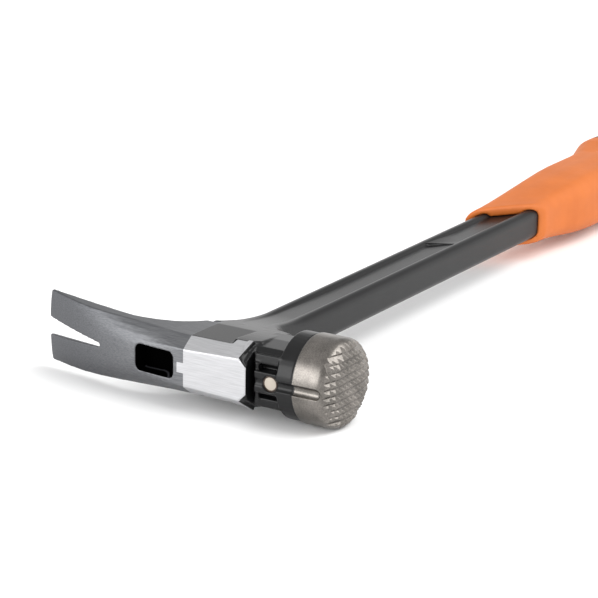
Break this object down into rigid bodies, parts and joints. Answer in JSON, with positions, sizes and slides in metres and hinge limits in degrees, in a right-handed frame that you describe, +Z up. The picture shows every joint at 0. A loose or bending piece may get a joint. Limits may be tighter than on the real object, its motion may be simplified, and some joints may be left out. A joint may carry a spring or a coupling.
{
  "type": "framing hammer",
  "caption": "Framing hammer with a toothed steel striking cap, a nail holder with a magnet, a separate steel claw and a slim handle with a rubber grip.",
  "frame": {"origin": "middle of the underside of the whole hammer, which lies on one cheek", "axes": "+X along the head towards the striking face, +Y down the handle towards the butt, +Z up through the cheeks"},
  "size_m": [0.1416, 0.395, 0.036],
  "materials": {
    "black_coat": "satin black coat on forged light alloy, bare and brushed on the flat top",
    "bare_steel": "shot-blasted forged steel",
    "bright_pin": "ground steel",
    "isolator": "matt nylon",
    "magnet": "pale sintered face",
    "bush": "dark brown plastic",
    "liner": "hard black nylon",
    "rubber": "orange rubber, matt",
    "plug": "hard black rubber, matt"
  },
  "bodies": {
    "root": {"forged_body": "black_coat", "claw": "bare_steel", "claw_pins": "bright_pin", "striking_cap": "bare_steel", "cap_washer": "isolator", "cap_dowel": "bright_pin", "nail_magnet": "magnet", "magnet_bush": "bush", "grip_liner": "liner", "grip_sleeve": "rubber", "butt_plug": "plug", "butt_screw": "bright_pin", "lanyard_tube": "bright_pin"}
  },
  "joints": []
}
